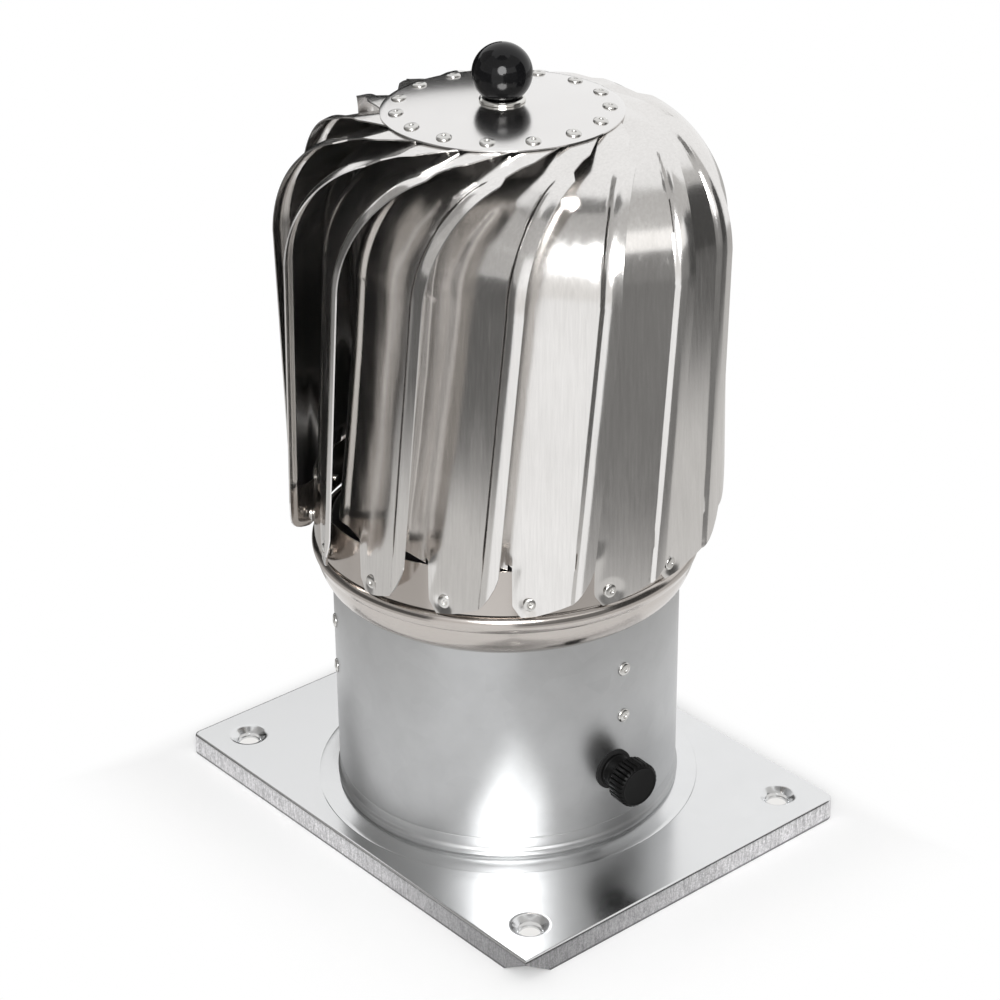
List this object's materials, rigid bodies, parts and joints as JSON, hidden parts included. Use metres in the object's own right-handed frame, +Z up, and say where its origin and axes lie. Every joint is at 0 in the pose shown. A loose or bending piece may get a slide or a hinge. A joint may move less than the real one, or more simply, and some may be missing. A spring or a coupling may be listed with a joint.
{
  "type": "roof turbine ventilator",
  "caption": "Wind-driven roof turbine ventilator: a bulb of curved, overlapping stainless vanes turning on a round neck over a folded rectangular base plate, with a black ball knob on top",
  "frame": {"origin": "middle of the base plate's underside, on the rotor's spin axis", "axes": "+X along the plate's short side, +Y along its long side, +Z up the spin axis; the cable gland faces -Y"},
  "size_m": [0.1877, 0.232, 0.3459],
  "materials": {
    "galvanised_sheet": "galvanised, faint spangle, semi-gloss",
    "stainless_sheet": "fine-brushed stainless steel, glossy",
    "black_knob": "smooth glossy black",
    "black_plastic": "fine-textured matt black",
    "bright_fastener": "bright zinc plated",
    "cast_housing": "turned and tumbled aluminium",
    "turned_steel": "turned and ground steel",
    "dark_core": "varnished dark core",
    "rubber_seal": "matt rubber"
  },
  "bodies": {
    "base": {"base_plate": "galvanised_sheet", "neck_pipe": "galvanised_sheet", "drip_ring": "stainless_sheet", "spider": "galvanised_sheet", "spider_rivets": "bright_fastener", "bearing_housing": "cast_housing", "bearing_outer_rings": "turned_steel", "housing_circlip": "turned_steel", "housing_screws": "bright_fastener", "housing_nuts": "bright_fastener", "motor_housing": "cast_housing", "motor_cover": "cast_housing", "stator_ring": "dark_core", "gland_body": "black_plastic", "gland_nut": "black_plastic", "gland_blank": "black_plastic", "gland_seal": "rubber_seal", "gland_locknut": "black_plastic"},
    "rotor": {"bearing_inner_rings": "turned_steel", "bearing_spacer": "turned_steel", "shaft_circlip": "turned_steel", "magnet_rotor": "dark_core", "shaft": "turned_steel", "hub_flange": "cast_housing", "top_disc": "stainless_sheet", "knob_washer": "bright_fastener", "ball_knob": "black_knob", "rotor_collar": "stainless_sheet", "vane_rivets": "bright_fastener", "vane_01": "stainless_sheet", "vane_02": "stainless_sheet", "vane_03": "stainless_sheet", "vane_04": "stainless_sheet", "vane_05": "stainless_sheet", "vane_06": "stainless_sheet", "vane_07": "stainless_sheet", "vane_08": "stainless_sheet", "vane_09": "stainless_sheet", "vane_10": "stainless_sheet", "vane_11": "stainless_sheet", "vane_12": "stainless_sheet", "vane_13": "stainless_sheet", "vane_14": "stainless_sheet", "vane_15": "stainless_sheet"}
  },
  "joints": [
    {"name": "rotor_spin", "type": "hinge", "parent": "base", "child": "rotor", "pos_m": [0, 0, 0.15], "axis": [0, 0, 1], "continuous": true}
  ]
}
